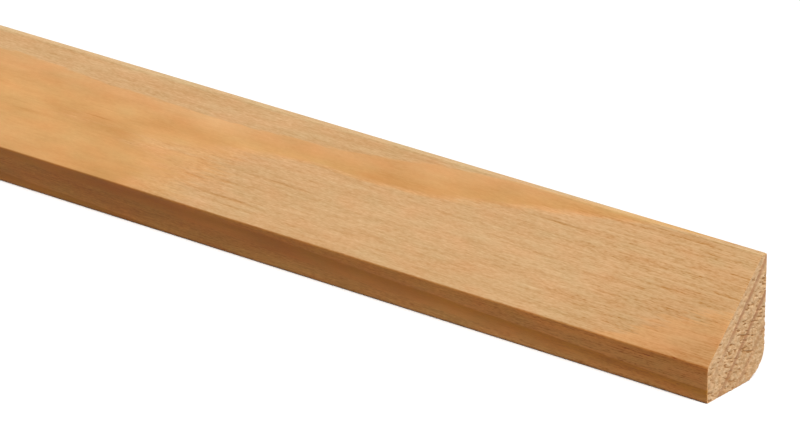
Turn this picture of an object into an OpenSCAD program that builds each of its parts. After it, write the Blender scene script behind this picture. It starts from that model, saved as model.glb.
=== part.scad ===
// Softwood glass bead: the small moulding that holds a pane in its timber rebate.
// It is one planed length. Seen from its end it has a tall back that bears on the glass,
// a seat that sits on the rebate, a low front edge, a splay that sheds water from the
// glass, a narrow land where the splay would come to a knife edge, and a rounded heel
// that clears the putty in the corner of the rebate.
// It stands on its seat. X runs along the grain, the front faces -Y and the glass is at +Y.

/* [Length] */
// Length that the moulding is sold in
bead_length = 2400; // [900:100:3600]

/* [Section] */
// Depth over the seat, from the front edge to the glass
bead_depth = 9; // [7:0.5:20]
// Height of the back against the glass
bead_height = 12; // [9:0.5:25]
// Height of the plain front edge below the splay
front_height = 3.6; // [2:0.1:6]
// Width of the land along the top, beside the glass
land_width = 0.8; // [0.6:0.1:3]

/* [Edges] */
// Radius of the heel, where the seat meets the back
heel_radius = 3; // [0.5:0.1:5]
// Radius of the toe, where the front edge meets the seat
toe_radius = 0.2; // [0.1:0.05:1]
// Radius of the nosing, where the splay meets the front edge
nosing_radius = 0.2; // [0.1:0.05:1]
// Radius on the two edges of the land
land_radius = 0.15; // [0.1:0.05:0.3]

/* [Hidden] */
$fn = 128;
pine = [0.84, 0.67, 0.47];

front_y = -bead_depth / 2;
glass_y = bead_depth / 2;
// The arc that eases a corner crosses each side at this small angle, which the eye
// takes for a tangent and which leaves no sliver at the ends of the cut.
crossing_angle = 3;
// The cutter that eases a corner goes this many times as far from the arc's centre as
// the corner and the arc's feet do, so that it clears the wood.
cutter_reach = 2;

// Corners of the section before they are eased, as [y, z], and the radius of each.
corners = [
    [front_y, 0],
    [glass_y, 0],
    [glass_y, bead_height],
    [glass_y - land_width, bead_height],
    [front_y, front_height],
];
radii = [toe_radius, heel_radius, land_radius, land_radius, nosing_radius];

function unit(v) = v / norm(v);
function neighbour(i, step) = corners[(i + step + len(corners)) % len(corners)];
// Directions from corner i along its two sides
function side_before(i) = unit(neighbour(i, -1) - corners[i]);
function side_after(i) = unit(neighbour(i, 1) - corners[i]);
function half_angle(i) = acos(side_before(i) * side_after(i)) / 2;
function arc_centre(i) =
    corners[i] + unit(side_before(i) + side_after(i))
        * radii[i] * cos(crossing_angle) / sin(half_angle(i));
// Foot of the arc's centre on the side that leaves corner i in direction side
function foot(i, side) = corners[i] + side * (arc_centre(i) - corners[i]) * side;

// What the cutter takes off corner i: all that lies beyond the arc, between its feet
module corner_waste(i) {
    centre = arc_centre(i);
    difference() {
        polygon([
            centre,
            for (p = [foot(i, side_before(i)), corners[i], foot(i, side_after(i))])
                centre + cutter_reach * (p - centre),
        ]);
        translate(centre) circle(r = radii[i]);
    }
}

module section() {
    difference() {
        polygon(corners);
        for (i = [0 : len(corners) - 1])
            corner_waste(i);
    }
}

module glass_bead() {
    color(pine)
        translate([-bead_length / 2, 0, 0])
            rotate([90, 0, 90])
                linear_extrude(bead_length)
                    section();
}

glass_bead();
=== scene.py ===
"""Looks of a softwood glass bead: the planed length, its sawn ends, the stage and the camera."""

import math

import bpy
import numpy as np
from bpy.props import FloatProperty, FloatVectorProperty, IntProperty, PointerProperty
from mathutils import Matrix, Vector


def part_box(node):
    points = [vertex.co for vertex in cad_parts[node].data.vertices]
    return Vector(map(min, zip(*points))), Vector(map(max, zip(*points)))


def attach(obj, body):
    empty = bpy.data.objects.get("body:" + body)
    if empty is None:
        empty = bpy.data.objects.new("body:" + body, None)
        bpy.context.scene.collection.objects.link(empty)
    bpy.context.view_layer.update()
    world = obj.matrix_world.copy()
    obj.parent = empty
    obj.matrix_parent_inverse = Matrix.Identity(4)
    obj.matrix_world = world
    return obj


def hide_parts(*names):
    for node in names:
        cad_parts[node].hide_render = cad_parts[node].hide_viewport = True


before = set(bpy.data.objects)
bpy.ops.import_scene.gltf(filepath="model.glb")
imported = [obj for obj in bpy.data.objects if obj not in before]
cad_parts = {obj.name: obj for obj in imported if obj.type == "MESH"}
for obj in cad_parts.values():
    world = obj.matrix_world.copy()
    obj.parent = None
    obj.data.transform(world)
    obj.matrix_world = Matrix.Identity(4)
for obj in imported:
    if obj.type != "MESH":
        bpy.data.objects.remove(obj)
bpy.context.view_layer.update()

bl_info = {
    "name": "Glass Bead Moulding",
    "version": (1, 0, 0),
    "blender": (4, 5, 0),
    "location": "View3D > Sidebar > Glass Bead",
    "description": "Makes a planed softwood glazing bead with sawn ends, and a stage for it",
    "category": "Object",
}

MM = 0.001
BODY = "root"
NODE = "glass_bead"
LOW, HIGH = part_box(NODE)
LENGTH = HIGH.x - LOW.x

# The corner from which the wood is measured: the near end, the front edge and the seat
NEAR_TOE = Vector((HIGH.x, LOW.y, LOW.z))


def end_outline():
    """The section's corners at the near end as (y, z) in metres, in the order that turns the
    swept faces outwards."""
    corners = {
        (round(v.co.y, 7), round(v.co.z, 7))
        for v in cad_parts[NODE].data.vertices
        if v.co.x > HIGH.x - 1e-6
    }
    middle = np.mean(list(corners), axis=0)
    return sorted(corners, key=lambda c: math.atan2(middle[1] - c[1], c[0] - middle[0]))


OUTLINE = end_outline()
HEART = np.mean([(LOW.y, LOW.z), (HIGH.y, LOW.z), (HIGH.y, HIGH.z)], axis=0)


def splay_line():
    """The lower end of the splay, in millimetres from the toe, and its slope in radians."""
    pairs = zip(OUTLINE, OUTLINE[1:] + OUTLINE[:1])
    slanted = [p for p in pairs if min(abs(p[0][0] - p[1][0]), abs(p[0][1] - p[1][1])) > MM]
    start, end = sorted(max(slanted, key=lambda p: math.dist(*p)))
    slope = math.atan2(end[1] - start[1], end[0] - start[0])
    front_height = (start[1] - LOW.z) - (start[0] - LOW.y) * math.tan(slope)
    return front_height / MM, slope


FRONT_HEIGHT, SPLAY_SLOPE = splay_line()


def paint(red, green, blue):
    """A colour as it shows on a screen, from 0 to 255, as the linear colour of a shader."""
    shown = (red / 255, green / 255, blue / 255)
    return tuple(c / 12.92 if c <= 0.04045 else ((c + 0.055) / 1.055) ** 2.4 for c in shown)


class BeadSettings(bpy.types.PropertyGroup):
    """Sizes and colours of the wood."""

    ring_pitch: FloatProperty(
        name="Ring Pitch", description="Thickness of one year's growth",
        default=2.1 * MM, min=0.5 * MM, unit="LENGTH")
    ring_climb: FloatProperty(
        name="Ring Climb", description="Rise of the growth layers for each unit of length",
        default=0.0222)
    tear_depth: FloatProperty(
        name="Tear Depth", description="Depth of the torn pits in the sawn ends",
        default=0.06 * MM, min=0, unit="LENGTH")
    arris_wear: FloatProperty(
        name="Arris Wear", description="Wood lost from the sawn arrises",
        default=0.09 * MM, min=0, unit="LENGTH")
    ripple_pitch: FloatProperty(
        name="Ripple Pitch", description="Spacing of the planer's knife marks",
        default=1.1 * MM, min=0.2 * MM, unit="LENGTH")
    cap_rows: IntProperty(
        name="Cap Rows", description="Rows of faces from the arris to the middle of an end",
        default=70, min=4)
    side_rows: IntProperty(
        name="Side Rows", description="Rows of faces along the length",
        default=120, min=20)
    earlywood: FloatVectorProperty(
        name="Earlywood", description="Pale wood that grows in spring",
        subtype="COLOR", default=paint(212, 168, 118))
    latewood: FloatVectorProperty(
        name="Latewood", description="Orange wood that grows in summer",
        subtype="COLOR", default=paint(219, 165, 108))
    line_tone: FloatVectorProperty(
        name="Line Tone", description="What the end of a year's growth makes of the colour",
        subtype="COLOR", default=(0.76, 0.65, 0.05))
    # The two front colours deepen the front edge partly with painted shade, as it faces away from the
    # lamp, and partly with the deeper tone of wood cut across the layers
    front_tone_and_shade: FloatVectorProperty(
        name="Front Tone", description="What the front edge makes of the wood's colour",
        subtype="COLOR", default=(0.94, 0.71, 0.415))
    front_deep_tone_and_shade: FloatVectorProperty(
        name="Front Deep", description="The same where the front edge is deepest in colour",
        subtype="COLOR", default=(0.66, 0.435, 0.17))
    # Painted shade: this tones down the land, the flat top that faces the lamp, mostly in red
    land_painted_shade: FloatVectorProperty(
        name="Land Tone", description="What the land makes of the wood's colour",
        subtype="COLOR", default=(0.885, 0.945, 0.955))
    end_grain: FloatVectorProperty(
        name="End Grain", description="Pale wood of the sawn ends",
        subtype="COLOR", default=paint(200, 165, 124))
    end_line: FloatVectorProperty(
        name="End Line", description="Ring lines on the sawn ends",
        subtype="COLOR", default=paint(170, 126, 90))
    pit: FloatVectorProperty(
        name="Pit", description="Shadowed bottom of the torn pits",
        subtype="COLOR", default=paint(146, 100, 52))


class StageSettings(bpy.types.PropertyGroup):
    """The floor, the light and the camera."""

    floor_size: FloatProperty(
        name="Floor Size", description="Side of the floor", default=60.0, unit="LENGTH")
    key_strength: FloatProperty(
        name="Key Strength", description="Strength of the main lamp", default=3.9)
    key_softness: FloatProperty(
        name="Key Softness", description="Width of the main lamp as the bead sees it",
        default=math.radians(26), subtype="ANGLE")
    sky_strength: FloatProperty(
        name="Sky Strength", description="Strength of the light from all round", default=0.20)
    camera_azimuth: FloatProperty(
        name="Azimuth", description="Turn of the camera round the bead",
        default=math.radians(38.5), subtype="ANGLE")
    camera_elevation: FloatProperty(
        name="Elevation", description="Height of the camera above the level",
        default=math.radians(22.6), subtype="ANGLE")
    camera_distance: FloatProperty(
        name="Distance", description="From the near toe to the camera, along its view",
        default=0.570, unit="LENGTH")
    camera_side: FloatProperty(
        name="Side Step", description="From the near toe to the middle of the view, sideways",
        default=-27.91 * MM, unit="LENGTH")
    camera_lift: FloatProperty(
        name="Lift", description="From the near toe to the middle of the view, upwards",
        default=17.45 * MM, unit="LENGTH")
    lens: FloatProperty(
        name="Lens", description="Focal length of the camera, in millimetres", default=281.97)


class Value:
    """A socket in a node tree. Arithmetic on it adds Math nodes, or Vector Math for vectors."""

    def __init__(self, nodes, socket):
        self.nodes = nodes
        self.socket = socket

    def maths(self, operation, *terms):
        wide = [t.socket.type in ("VECTOR", "RGBA") if isinstance(t, Value)
                else not isinstance(t, (int, float)) for t in terms]
        kind = "ShaderNodeVectorMath" if any(wide) else "ShaderNodeMath"
        if any(wide):
            terms = [(t,) * 3 if isinstance(t, (int, float)) else t for t in terms]
        return self.nodes.add(kind, {"operation": operation}, dict(enumerate(terms)))

    def __add__(self, other):
        return self.maths("ADD", self, other)

    def __radd__(self, other):
        return self.maths("ADD", other, self)

    def __sub__(self, other):
        return self.maths("SUBTRACT", self, other)

    def __rsub__(self, other):
        return self.maths("SUBTRACT", other, self)

    def __mul__(self, other):
        return self.maths("MULTIPLY", self, other)

    def __rmul__(self, other):
        return self.maths("MULTIPLY", other, self)

    def __truediv__(self, other):
        return self.maths("DIVIDE", self, other)

    def __rtruediv__(self, other):
        return self.maths("DIVIDE", other, self)

    def __pow__(self, other):
        return self.maths("POWER", self, other)

    def function(self, operation):
        """The value of a one-sided operation, such as FRACT or EXPONENT."""
        return self.maths(operation, self)

    def least(self, other):
        return self.maths("MINIMUM", self, other)

    def most(self, other):
        return self.maths("MAXIMUM", self, other)

    def step(self, low, high):
        """0 below low and 1 above high, with a smooth rise between them."""
        return self.nodes.add(
            "ShaderNodeMapRange", {"interpolation_type": "SMOOTHSTEP"},
            {"Value": self, "From Min": low, "From Max": high}, "Result")

    def split(self):
        """The three parts of a vector."""
        x = self.nodes.add("ShaderNodeSeparateXYZ", inputs={"Vector": self}, output="X")
        return x, x.other("Y"), x.other("Z")

    def other(self, output):
        """Another output of the node that this value comes from."""
        return Value(self.nodes, self.socket.node.outputs[output])


class Nodes:
    """Adds nodes to a tree: settings first, then the values or links of the sockets."""

    def __init__(self, tree):
        self.tree = tree

    def add(self, kind, settings=None, inputs=None, output=0):
        node = self.tree.nodes.new(kind)
        for name, setting in (settings or {}).items():
            if name == "stops":
                self.set_stops(node.color_ramp, setting)
            else:
                setattr(node, name, setting)
        for key, given in (inputs or {}).items():
            self.feed(node.inputs[key], given)
        return Value(self, node.outputs[output]) if len(node.outputs) else node

    def feed(self, socket, given):
        if isinstance(given, Value):
            self.tree.links.new(given.socket, socket)
        elif socket.type == "RGBA" and len(given) == 3:
            socket.default_value = (*given, 1)
        else:
            socket.default_value = given

    def set_stops(self, ramp, stops):
        """Gives a ramp its stops, as (place, colour) from left to right."""
        while len(ramp.elements) > 1:
            ramp.elements.remove(ramp.elements[-1])
        for i, (place, colour) in enumerate(stops):
            stop = ramp.elements[0] if i == 0 else ramp.elements.new(place)
            stop.position = place
            stop.color = (*colour, 1)

    def vector(self, x, y, z):
        return self.add("ShaderNodeCombineXYZ", inputs={"X": x, "Y": y, "Z": z})

    def noise(self, place, detail=2.0, roughness=0.5):
        """Smooth noise from 0 to 1 that changes over about one unit of place."""
        return self.add("ShaderNodeTexNoise", inputs={
            "Vector": place, "Scale": 1.0, "Detail": detail, "Roughness": roughness})

    def mix(self, share, a, b):
        """Colour a where share is 0 and colour b where it is 1."""
        node = self.tree.nodes.new("ShaderNodeMix")
        node.data_type = "RGBA"
        colours = [s for s in node.inputs if s.type == "RGBA"]
        for socket, given in zip([node.inputs[0], *colours], [share, a, b]):
            self.feed(socket, given)
        return Value(self, next(s for s in node.outputs if s.type == "RGBA"))


# The torn grain of the sawn ends. It leans this much against the depth of the bead.
TEAR_LEAN = math.radians(-18)


def splay_place(y, z):
    """How far up the splay a point lies, and how deep below it, in millimetres."""
    up = y * math.cos(SPLAY_SLOPE) + (z - FRONT_HEIGHT) * math.sin(SPLAY_SLOPE)
    depth = y * math.sin(SPLAY_SLOPE) - (z - FRONT_HEIGHT) * math.cos(SPLAY_SLOPE)
    return up, depth


def torn_grain(nodes, y, z):
    """The torn pits at (y, z) on a sawn end, and the fuzz of fibres between them, from 0 to 1.

    The geometry and the material both use it, so the dark pits lie where the wood is gone.
    """
    along = y * math.cos(TEAR_LEAN) + z * math.sin(TEAR_LEAN)
    across = z * math.cos(TEAR_LEAN) - y * math.sin(TEAR_LEAN)
    dashes = nodes.noise(nodes.vector(along * 1.25, across * 4.6, 4.9), 1.0, 0.5)
    clusters = nodes.noise(nodes.vector(y * 0.7, z * 0.7, 9.1), 1.0)
    _, depth = splay_place(y, z)
    soft = depth.step(0.7, 2.0) * (1 - depth.step(4.4, 5.8))
    pits = (dashes + (clusters - 0.5) * 0.35 + soft * 0.08).step(0.635, 0.75)
    fuzz = nodes.noise(nodes.vector(along * 2.0, across * 4.2, 5.3), 2.0, 0.6)
    return pits, fuzz


def section_curve():
    """A closed curve round the section, with points close enough to carry the torn arris."""
    shortest, longest = 0.05 * MM, 0.125 * MM
    corners = OUTLINE[:1]
    for corner in OUTLINE[1:]:
        if math.dist(corner, corners[-1]) > shortest:
            corners.append(corner)
    points = []
    for start, end in zip(corners, corners[1:] + corners[:1]):
        count = max(1, math.ceil(math.dist(start, end) / longest))
        points += [np.array(start) + (np.array(end) - start) * i / count for i in range(count)]
    curve = bpy.data.curves.new("planed_bead", "CURVE")
    curve.dimensions = "3D"
    spline = curve.splines.new("POLY")
    spline.points.add(len(points) - 1)
    for place, (y, z) in zip(spline.points, points):
        place.co = (0, y, z, 1)
    spline.use_cyclic_u = True
    return curve


def sweep_tree():
    """Sweeps a section along X: the first and last rows close over the sawn ends."""
    tree = bpy.data.node_groups.new("sawn_length", "GeometryNodeTree")
    nodes = Nodes(tree)
    kinds = {
        "Section": "Geometry", "Length": "Float", "Heart": "Vector", "Cap Rows": "Int",
        "Side Rows": "Int", "Tear Depth": "Float", "Arris Wear": "Float",
        "Planed Wood": "Material", "Sawn Wood": "Material",
    }
    for name, kind in kinds.items():
        tree.interface.new_socket(name, in_out="INPUT", socket_type="NodeSocket" + kind)
    tree.interface.new_socket("Mesh", in_out="OUTPUT", socket_type="NodeSocketGeometry")
    given = nodes.add("NodeGroupInput", output="Section")
    length, caps, sides = (given.other(k) for k in ("Length", "Cap Rows", "Side Rows"))

    def stored(geometry, name, kind, field):
        return nodes.add(
            "GeometryNodeStoreNamedAttribute", {"data_type": kind},
            {"Geometry": geometry, "Name": name, "Value": field})

    def named(name, kind):
        return nodes.add(
            "GeometryNodeInputNamedAttribute", {"data_type": kind}, {"Name": name})

    # The sweep itself: a plain rail, so that each point knows its row, column and place
    index = nodes.add("GeometryNodeInputIndex")
    rail = nodes.add("GeometryNodeResampleCurve", {"mode": "COUNT"}, {
        "Curve": nodes.add("GeometryNodeCurvePrimitiveLine", inputs={"End": (-1, 0, 0)}),
        "Count": caps * 2 + sides + 1})
    rail = stored(rail, "row", "INT", index)
    ring = stored(given, "column", "INT", index)
    ring = stored(ring, "section_place", "FLOAT_VECTOR", nodes.add("GeometryNodeInputPosition"))
    mesh = nodes.add("GeometryNodeCurveToMesh", inputs={"Curve": rail, "Profile Curve": ring})

    # Rows crowd towards both ends, where the arrises are torn
    crowding = 4.2
    row = named("row", "INT")
    last_row = caps * 2 + sides
    share = ((row - caps) / sides).most(0.0).least(1.0)
    x = ((share * 2 - 1) * crowding).function("TANH") * length * (-0.5 / math.tanh(crowding))
    closing = (row.least(last_row - row) / caps).least(1.0)

    # The saw's tears and the worn arris fade within a millimetre of the end
    heart = given.other("Heart")
    reach = 0.45 * MM
    inside = length * 0.5 - x.function("ABSOLUTE")
    near_end = (inside * (-1 / reach)).function("EXPONENT")
    from_heart = named("section_place", "FLOAT_VECTOR") - heart
    _, y, z = ((from_heart * closing + heart) / MM - tuple(NEAR_TOE / MM)).split()
    pits, fuzz = torn_grain(nodes, y, z)
    nibbles = nodes.noise(nodes.vector(x * (1 / MM) * 1.5, y * 1.9, z * 1.9), 2.0, 0.6)
    _, depth = splay_place(y, z)
    softer = depth.step(2.0, 4.0) * 0.85 + 0.15
    worn = (nibbles * 4.5 - 1.6).most(0.0) * softer * near_end
    crushed = (inside * (-1 / (0.1 * MM))).function("EXPONENT") * 0.25
    width = from_heart.function("LENGTH").other("Value")
    slimmer = 1 - (worn + crushed) * given.other("Arris Wear") / width
    tear = pits * 0.7 + fuzz * 0.3
    inwards = x.function("SIGN") * tear * given.other("Tear Depth") * near_end
    _, section_y, section_z = (from_heart * closing * slimmer + heart).split()
    mesh = nodes.add("GeometryNodeSetPosition", inputs={
        "Geometry": mesh, "Position": nodes.vector(x - inwards, section_y, section_z)})

    mesh = nodes.add("GeometryNodeMergeByDistance", inputs={
        "Geometry": mesh, "Selection": closing.maths("LESS_THAN", closing, 1e-4),
        "Distance": 1e-4})
    mesh = nodes.add("GeometryNodeRealizeInstances", inputs={"Geometry": mesh})
    mesh = nodes.add("GeometryNodeSetMaterial", inputs={
        "Geometry": mesh, "Material": given.other("Planed Wood")})
    on_end = closing.maths("LESS_THAN", closing, 0.9999)
    mesh = nodes.add("GeometryNodeSetMaterial", inputs={
        "Geometry": mesh, "Selection": on_end, "Material": given.other("Sawn Wood")})
    nodes.add("NodeGroupOutput", inputs={"Mesh": mesh})
    return tree


def swept(curve, tree, inputs):
    """The mesh that the tree makes of the curve, with its modifier left behind."""
    source = bpy.data.objects.new("section", curve)
    bpy.context.scene.collection.objects.link(source)
    modifier = source.modifiers.new("Sweep", "NODES")
    modifier.node_group = tree
    for item in tree.interface.items_tree:
        if item.in_out == "INPUT" and item.name in inputs:
            modifier[item.identifier] = inputs[item.name]
    depsgraph = bpy.context.evaluated_depsgraph_get()
    mesh = bpy.data.meshes.new_from_object(
        source.evaluated_get(depsgraph), preserve_all_data_layers=True, depsgraph=depsgraph)
    source.modifiers.remove(modifier)
    bpy.data.objects.remove(source)
    bpy.data.curves.remove(curve)
    return mesh


# Where the growth layers swell or dip under the splay, in millimetres: place from the near
# end and up the splay, half length, half width and height
SWELLS = [
    (-25, 13.0, 19, 2.0, -1.17),
    (-51, 7.0, 9, 2.0, 0.29),
    (-53, 10.7, 28, 2.8, -1.00),
    (-106, 6.2, 38, 3.7, 0.82),
]

# Dark resin streaks on the splay, in the same way, with their strength
STREAKS = [
    (-3.2, 0.72, 3.4, 0.10, 0.9),
    (-4.2, 6.15, 3.6, 0.18, 0.6),
    (-4.6, 8.7, 3.6, 0.18, 0.5),
    (-8.0, 11.4, 6.0, 0.20, 1.0),
    (-6.0, -0.2, 6.0, 0.16, 0.8),
    (-15.8, 2.2, 1.2, 0.20, 0.5),
    (-20.2, 2.6, 2.8, 0.12, 0.8),
    (-21.4, 9.15, 2.8, 0.09, 1.9),
    (-53.5, 4.85, 3.6, 0.10, 1.5),
    (-56.6, 1.2, 3.2, 0.11, 1.3),
    (-58.6, 1.9, 3.2, 0.11, 1.9),
    (-58.4, 3.5, 2.6, 0.10, 1.4),
    (-63.0, 3.15, 2.0, 0.15, 0.9),
    (-67.4, 5.4, 1.0, 0.16, 0.7),
    (-85.2, 4.45, 2.8, 0.17, 0.8),
]


def bump_at(x, up, place):
    """1 at a place on the splay, falling away smoothly over its half length and half width."""
    middle_x, middle_up, half_length, half_width = place
    far_x = (x - middle_x) / half_length
    far_up = (up - middle_up) / half_width
    return ((far_x * far_x + far_up * far_up) * -1).function("EXPONENT")


def growth_rings(nodes, x, y, z, wood):
    """The place of a point in its year's growth, from 0 to 1.

    Rings run close to the splay. On the near end the first year starts 1.5 mm below the
    splay's foot and rises towards its top. They climb towards the far end.
    """
    up, depth = splay_place(y, z)
    line = 1.479 + x * wood.ring_climb - up * 0.0515
    for *place, height in SWELLS:
        line = line + bump_at(x, up, place) * height
    count = (line - depth) / (wood.ring_pitch / MM) + 1

    # The layers waver: slowly far from the near end, and finely everywhere
    slow = nodes.noise(nodes.vector(x / 210, y / 30, z / 30), 1.0) - 0.5
    far = (x * -1).step(90, 260)
    small = nodes.noise(nodes.vector(x / 17, y / 4, z / 4), 1.0) - 0.5
    ripple = nodes.noise(nodes.vector(x / 7, y / 0.9, z / 0.9), 1.0) - 0.5
    feather = nodes.noise(nodes.vector(x / 2.6, y / 0.2, z / 0.2), 2.0) - 0.5
    count = count + slow * far * 7.0 + small * 0.06 + ripple * 0.08 + feather * 0.085
    return count.function("FRACT")


def fibre_noise(nodes, x, y, z):
    """Fine and broad streaks along the grain, both about zero."""
    hair = nodes.noise(nodes.vector(x / 0.5, y / 0.09, z / 0.09), 1.0) - 0.5
    fine = nodes.noise(nodes.vector(x / 1.5, y / 0.15, z / 0.15), 2.0, 0.6) - 0.5
    thread = nodes.noise(nodes.vector(x / 6, y / 0.11, z / 0.11), 1.0) - 0.5
    broad = nodes.noise(nodes.vector(x / 9, y / 0.45, z / 0.45), 2.0, 0.55) - 0.5
    return hair * 0.42 + fine * 0.42 + thread * (x.step(-34, -6) * 0.24 + 0.12), broad


def dark_streaks(nodes, x, y, z):
    """Thin resin streaks: the known ones, and on the rest of the wood scattered ones."""
    up, _ = splay_place(y, z)
    waver = (nodes.noise(nodes.vector(x / 1.2, y / 0.3, z / 0.3), 1.0) - 0.5) * 0.12
    known = 0.0
    for *place, strength in STREAKS:
        known = (bump_at(x, up + waver, place) * strength).most(known)
    hairs = nodes.noise(nodes.vector(x / 8, y / 0.14, z / 0.14), 1.0).step(0.68, 0.78)
    clusters = nodes.noise(nodes.vector(x / 26, y / 2.4, z / 2.4), 1.0).step(0.50, 0.64)
    return known.most(hairs * clusters * 0.8)


def wood_place(nodes):
    """The shaded point in millimetres from the near toe."""
    place = nodes.add("ShaderNodeTexCoord", output="Object")
    return (place / MM - tuple(NEAR_TOE / MM)).split()


def new_wood(name):
    """A material with an empty tree, and the helper that fills it."""
    material = bpy.data.materials.new(name)
    material.use_nodes = True
    material.node_tree.nodes.clear()
    return material, Nodes(material.node_tree)


def finish_wood(nodes, colour, roughness, height, distance):
    normal = nodes.add("ShaderNodeBump", inputs={
        "Strength": 1.0, "Distance": distance, "Height": height})
    surface = nodes.add("ShaderNodeBsdfPrincipled", inputs={
        "Base Color": colour, "Roughness": roughness, "Normal": normal,
        "Specular IOR Level": 0.35})
    nodes.add("ShaderNodeOutputMaterial", inputs={"Surface": surface})


def planed_wood(wood):
    """Planed long grain: ring colours, fibres, resin streaks and the planer's ripple."""
    material, nodes = new_wood("planed_pine")
    x, y, z = wood_place(nodes)
    year = growth_rings(nodes, x, y, z, wood)
    colour = nodes.add("ShaderNodeValToRGB", {"stops": [
        (0.00, wood.latewood), (0.05, wood.earlywood), (0.545, wood.earlywood),
        (0.57, wood.latewood), (1.0, wood.latewood)]}, {"Fac": year})

    # The front edge is cut across the layers and shows a deeper tone, deepest at one place. Its colour is
    # also darkened with painted shade, as the front faces away from the lamp.
    front = 1 - y.step(0.0, 0.07)
    colour = nodes.mix(front * 0.6, colour, wood.earlywood)
    dip = bump_at(x, z, (-75, 2, 42, 9))
    tone = nodes.mix(dip, wood.front_tone_and_shade, wood.front_deep_tone_and_shade)
    # Painted light: the low part of the front edge is lightened, as if by light thrown up from the floor
    painted_floor_bounce = front * (1 - z.step(0.2, 1.6))
    colour = colour * nodes.mix(front, (1, 1, 1), tone)
    colour = colour * (nodes.vector(painted_floor_bounce, painted_floor_bounce, painted_floor_bounce) * (0.15, 0.27, 0.42) + 1)
    under = front * z.step(2.5, 3.2)
    colour = colour * (1 - nodes.vector(under, under, under) * (0.0, 0.05, 0.22))
    # Painted shade on the land, which faces the lamp and would otherwise show too bright
    top = (HIGH.z - LOW.z) / MM
    colour = colour * nodes.mix(z.step(top - 0.2, top - 0.02), (1, 1, 1), wood.land_painted_shade)

    # The line where a year ends is faint where the cut runs almost along it, on the splay
    _, depth = splay_place(y, z)
    line = year.step(0.58, 0.93) * (1 - year.step(0.95, 1.0)) * (0.2 + depth.step(0.1, 0.6) * 0.62)
    colour = nodes.mix(line, colour, colour * tuple(wood.line_tone))

    # Dark fibres are warmer than pale ones: blue changes the most
    fine, broad = fibre_noise(nodes, x, y, z)
    mottle = nodes.noise(nodes.vector(x / 11, y / 2.5, z / 2.5), 2.0) - 0.5
    flush = nodes.noise(nodes.vector(x / 4, y / 1.3 + 7, z / 1.3), 1.0) - 0.5
    late = year.step(0.53, 0.59) * (1 - year.step(0.97, 1.0))
    near = x.step(-34, -4)
    lively = (1 - late * (0.65 - near * 0.3)) * (near * 0.27 + 1) * (front * 0.75 + 1)
    up, _ = splay_place(y, z)
    dusk = year.step(0.40, 0.52) * (1 - year.step(0.54, 0.58)) * x.step(-26, -8) * 0.08
    dusk = dusk + bump_at(x, up, (-78, 1.0, 16, 2.5)) * 0.05
    streak = dark_streaks(nodes, x, y, z)
    shade = (fine * 1.2 + broad * 0.36) * lively + mottle * (late * 0.55 + 0.15)
    shade = shade - shade * shade * near * 1.5
    shade = shade - streak * 0.18 - dusk - x.step(-16, 0) * 0.03
    colour = colour * (nodes.vector(shade, shade, shade) * (0.64, 1.0, 1.55) + 1)
    colour = colour * (nodes.vector(flush, flush * -0.4, flush * -0.7) * (front * 0.1 + 0.14) + 1)
    toe = bump_at(x, up, (-1, 1.0, 7, 3.2)) * (1 - front)
    colour = colour * (1 - nodes.vector(toe, toe, toe) * (0.15, 0.17, 0.18))

    knife = (x * (2 * math.pi * MM / wood.ripple_pitch) + broad * 3).function("SINE")
    height = fine * lively * 0.011 + broad * 0.008 + knife * 0.0016 - streak * 0.006
    roughness = 0.52 + fine * 0.2 - year.step(0.6, 0.9) * 0.06
    finish_wood(nodes, colour, roughness, height, MM)
    return material


def sawn_wood(wood):
    """Sawn end grain: ring lines, torn pits and the pale fuzz between them."""
    material, nodes = new_wood("sawn_pine")
    x, y, z = wood_place(nodes)
    year = growth_rings(nodes, x, y, z, wood)
    line = year.step(0.72, 0.93) + (1 - year.step(0.0, 0.05))
    up, depth = splay_place(y, z)
    uneven = nodes.noise(nodes.vector(y / 1.8, z / 1.8, 1.3), 1.0).step(0.30, 0.62) * 0.3 + 0.7
    strong = 1 - (1 - up.step(-1, 5)) * (1 - depth.step(2.0, 3.0)) * 0.75
    strong = strong * (1 - depth.step(4.4, 5.2) * 0.45)
    line = line.least(1) * uneven * strong
    colour = nodes.mix(line, wood.end_grain, wood.end_line)
    pits, fuzz = torn_grain(nodes, y, z)
    pits = pits * (1 - line * 0.6)
    speck = nodes.noise(nodes.vector(y / 0.09, z / 0.09, 6.1), 2.0, 0.6) - 0.5
    tufts = nodes.noise(nodes.vector(y / 0.35, z / 0.35, 8.4), 2.0, 0.6) - 0.5
    flush = nodes.noise(nodes.vector(y / 0.6, z / 0.6, 2.2), 2.0) - 0.5
    deep = depth.step(1.0, 5.0)
    # Where the fuzz sinks the end deeper it is darkened with painted shade, and the raised fuzz is paler
    shade = (fuzz - 0.5) * -0.9 + speck * 0.5 + tufts * 0.7 + fuzz.step(0.60, 0.30) * 0.08
    shade = shade * (depth.step(1.0, 3.0) * 0.2 + 1) * (1 - line * 0.4) - deep * 0.11
    colour = colour * (nodes.vector(shade, shade, shade) * (0.75, 1.0, 1.35) + 1)
    colour = colour * (nodes.vector(flush, flush * -0.2, flush * -1.4) * 0.2 + 1)
    colour = nodes.mix(pits * 0.9, colour, wood.pit)
    height = speck * 0.008 - fuzz * 0.008 - pits * 0.008
    finish_wood(nodes, colour, 0.8, height, MM)
    return material


# The name of the extra map onto which the wood's faces are laid out
BAKE_MAP = "OFBake"


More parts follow.
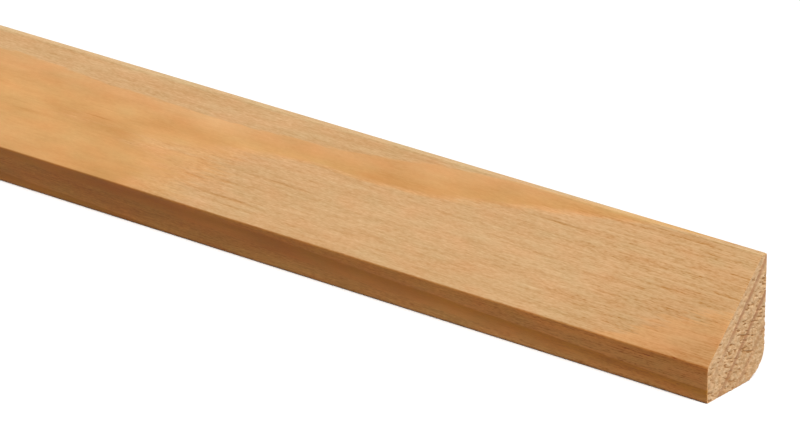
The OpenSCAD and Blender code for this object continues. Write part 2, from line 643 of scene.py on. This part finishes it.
def lay_out_bake_map(mesh, caps, sides):
    """Lays the long strip of wood out in pieces, the near stretch and the ends the largest."""
    faces = len(mesh.polygons)
    loops = np.empty(len(mesh.loops), np.int32)
    mesh.loops.foreach_get("vertex_index", loops)
    totals = np.empty(faces, np.int32)
    mesh.polygons.foreach_get("loop_total", totals)
    face = np.repeat(np.arange(faces), totals)
    starts = np.concatenate([[0], np.cumsum(totals)[:-1]])
    place = np.empty(len(mesh.vertices) * 3, np.float32)
    mesh.vertices.foreach_get("co", place)
    place = place.reshape(-1, 3)

    def numbers(name):
        found = np.empty(len(mesh.vertices), np.int32)
        mesh.attributes[name].data.foreach_get("value", found)
        return found[loops]

    row, column = numbers("row"), numbers("column")
    face_row = np.minimum.reduceat(row, starts)
    last_column = np.maximum.reduceat(column, starts)
    wraps = (last_column - np.minimum.reduceat(column, starts) > 1)[face]
    columns = column.max() + 1
    girth = np.where(wraps & (column == 0), columns, column) / columns

    x, y, z = place[loops].T
    u, v = np.zeros(len(loops)), np.zeros(len(loops))
    gap = 0.004
    cap_wide, cap_high = 0.14, 0.19
    on_cap = (face_row < caps) | (face_row >= caps + sides)
    at_far = (face_row >= caps + sides)[face]
    shown = on_cap[face]
    cap_u = (y - LOW.y) / (HIGH.y - LOW.y)
    cap_v = (z - LOW.z) / (HIGH.z - LOW.z)
    u[shown] = (gap + cap_u * (cap_wide - 2 * gap) + at_far * cap_wide)[shown]
    v[shown] = (gap + cap_v * (cap_high - 2 * gap))[shown]

    # Each stretch: how far from the near end it reaches, and its room on the map
    far_stretches = 6
    near_reach, far_reach = 100 * MM, 100 * MM
    near_top, high = 0.44, (1 - 0.44) / far_stretches
    rooms = [(near_reach, 0, 1, cap_high, near_top)]
    middle = (LENGTH - near_reach - far_reach) / far_stretches
    for i in range(far_stretches):
        rooms.append((near_reach + middle * (i + 1), 0, 1, near_top + high * i, near_top + high * (i + 1)))
    rooms.append((LENGTH, 2 * cap_wide, 1, 0, cap_high))

    from_near = HIGH.x - x
    face_start = np.minimum.reduceat(from_near, starts)
    taken = on_cap.copy()
    for reach, left, right, bottom, top in rooms:
        mine = ~taken & (face_start < reach)
        taken |= mine
        if not mine.any():
            continue
        here = mine[face]
        begin, end = from_near[here].min(), from_near[here].max()
        part = (from_near[here] - begin) / (end - begin)
        u[here] = left + gap + part * (right - left - 2 * gap)
        v[here] = bottom + gap + girth[here] * (top - bottom - 2 * gap)

    layer = mesh.uv_layers.new(name=BAKE_MAP)
    layer.uv.foreach_set("vector", np.stack([u, v], 1).astype(np.float32).ravel())
    for name in ("row", "column", "section_place"):
        mesh.attributes.remove(mesh.attributes[name])


class GLASSBEAD_OT_bead(bpy.types.Operator):
    """Make the planed length with its sawn ends"""

    bl_idname = "glassbead.bead"
    bl_label = "Make Bead"

    def execute(self, context):
        wood = context.scene.glass_bead
        mesh = swept(section_curve(), sweep_tree(), {
            "Length": LENGTH, "Heart": (0, *HEART), "Cap Rows": wood.cap_rows,
            "Side Rows": wood.side_rows, "Tear Depth": wood.tear_depth,
            "Arris Wear": wood.arris_wear, "Planed Wood": planed_wood(wood),
            "Sawn Wood": sawn_wood(wood)})
        if not mesh.polygons:
            raise RuntimeError("the sweep made no faces")
        lay_out_bake_map(mesh, wood.cap_rows, wood.side_rows)
        mesh.shade_smooth()
        mesh.set_sharp_from_angle(angle=math.radians(40))
        bead = bpy.data.objects.new("planed_bead", mesh)
        context.scene.collection.objects.link(bead)
        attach(bead, BODY)
        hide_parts(NODE)
        return {"FINISHED"}


def white_to_the_eye(nodes):
    """1 for the rays that show a thing to the eye, straight or by a mirror or glass."""
    camera = nodes.add("ShaderNodeLightPath", output="Is Camera Ray")
    return camera.most(camera.other("Is Glossy Ray")).most(camera.other("Is Transmission Ray"))


class GLASSBEAD_OT_stage(bpy.types.Operator):
    """Make the floor, the light and the camera"""

    bl_idname = "glassbead.stage"
    bl_label = "Make Stage"

    def execute(self, context):
        stage = context.scene.bead_stage
        self.make_camera(context, stage)
        self.make_light(context, stage)
        self.make_floor(context, stage)
        context.scene.view_settings.view_transform = "Standard"
        return {"FINISHED"}

    def make_camera(self, context, stage):
        azimuth, elevation = stage.camera_azimuth, stage.camera_elevation
        right = Vector((math.cos(azimuth), math.sin(azimuth), 0))
        back = Vector((math.sin(azimuth) * math.cos(elevation),
                       -math.cos(azimuth) * math.cos(elevation), math.sin(elevation)))
        up = back.cross(right)
        place = NEAR_TOE + back * stage.camera_distance
        place += right * stage.camera_side + up * stage.camera_lift
        data = bpy.data.cameras.new("camera")
        data.sensor_width = 36
        data.lens = stage.lens
        data.clip_start, data.clip_end = 0.01, 1000
        camera = bpy.data.objects.new("camera", data)
        camera.matrix_world = Matrix.Translation(place) @ Matrix((right, up, back)).transposed().to_4x4()
        context.scene.collection.objects.link(camera)
        context.scene.camera = camera

    def make_light(self, context, stage):
        """A broad soft lamp from above and the right, and an even sky"""
        data = bpy.data.lights.new("key", "SUN")
        data.energy = stage.key_strength
        data.angle = stage.key_softness
        key = bpy.data.objects.new("key", data)
        from_key = Vector((0.60, -0.08, 0.79))
        key.rotation_euler = from_key.to_track_quat("Z", "Y").to_euler()
        context.scene.collection.objects.link(key)
        world = bpy.data.worlds.new("sky")
        world.use_nodes = True
        world.node_tree.nodes.clear()
        nodes = Nodes(world.node_tree)
        eye = white_to_the_eye(nodes)
        sky = nodes.add("ShaderNodeBackground", inputs={
            "Color": (1, 1, 1), "Strength": eye * (1 - stage.sky_strength) + stage.sky_strength})
        nodes.add("ShaderNodeOutputWorld", inputs={"Surface": sky})
        context.scene.world = world

    def make_floor(self, context, stage):
        """A plain floor, pale to the eye, which throws back little light on the bead"""
        half = stage.floor_size / 2
        mesh = bpy.data.meshes.new("floor")
        mesh.from_pydata(
            [(-half, -half, 0), (half, -half, 0), (half, half, 0), (-half, half, 0)],
            [], [(0, 1, 2, 3)])
        material = bpy.data.materials.new("floor")
        material.use_nodes = True
        material.node_tree.nodes.clear()
        nodes = Nodes(material.node_tree)
        dim = nodes.add("ShaderNodeBsdfDiffuse", inputs={"Color": paint(150, 128, 104)})
        white = nodes.add("ShaderNodeBsdfDiffuse", inputs={"Color": paint(246, 246, 246)})
        surface = nodes.add("ShaderNodeMixShader", inputs={
            0: white_to_the_eye(nodes), 1: dim, 2: white})
        nodes.add("ShaderNodeOutputMaterial", inputs={"Surface": surface})
        mesh.materials.append(material)
        floor = bpy.data.objects.new("floor", mesh)
        context.scene.collection.objects.link(floor)


class GLASSBEAD_PT_panel(bpy.types.Panel):
    """Lists the settings and the steps"""

    bl_idname = "GLASSBEAD_PT_panel"
    bl_label = "Glass Bead"
    bl_space_type = "VIEW_3D"
    bl_region_type = "UI"
    bl_category = "Glass Bead"

    def draw(self, context):
        for operator, settings in (
            (GLASSBEAD_OT_bead, context.scene.glass_bead),
            (GLASSBEAD_OT_stage, context.scene.bead_stage),
        ):
            self.layout.operator(operator.bl_idname)
            for name in settings.__annotations__:
                self.layout.prop(settings, name)


CLASSES = (
    BeadSettings, StageSettings, GLASSBEAD_OT_bead, GLASSBEAD_OT_stage, GLASSBEAD_PT_panel)


def register():
    for cls in CLASSES:
        bpy.utils.register_class(cls)
    bpy.types.Scene.glass_bead = PointerProperty(type=BeadSettings)
    bpy.types.Scene.bead_stage = PointerProperty(type=StageSettings)


def unregister():
    del bpy.types.Scene.bead_stage
    del bpy.types.Scene.glass_bead
    for cls in reversed(CLASSES):
        bpy.utils.unregister_class(cls)


def main():
    register()
    bpy.ops.glassbead.stage()
    bpy.ops.glassbead.bead()


if __name__ == "__main__":
    main()
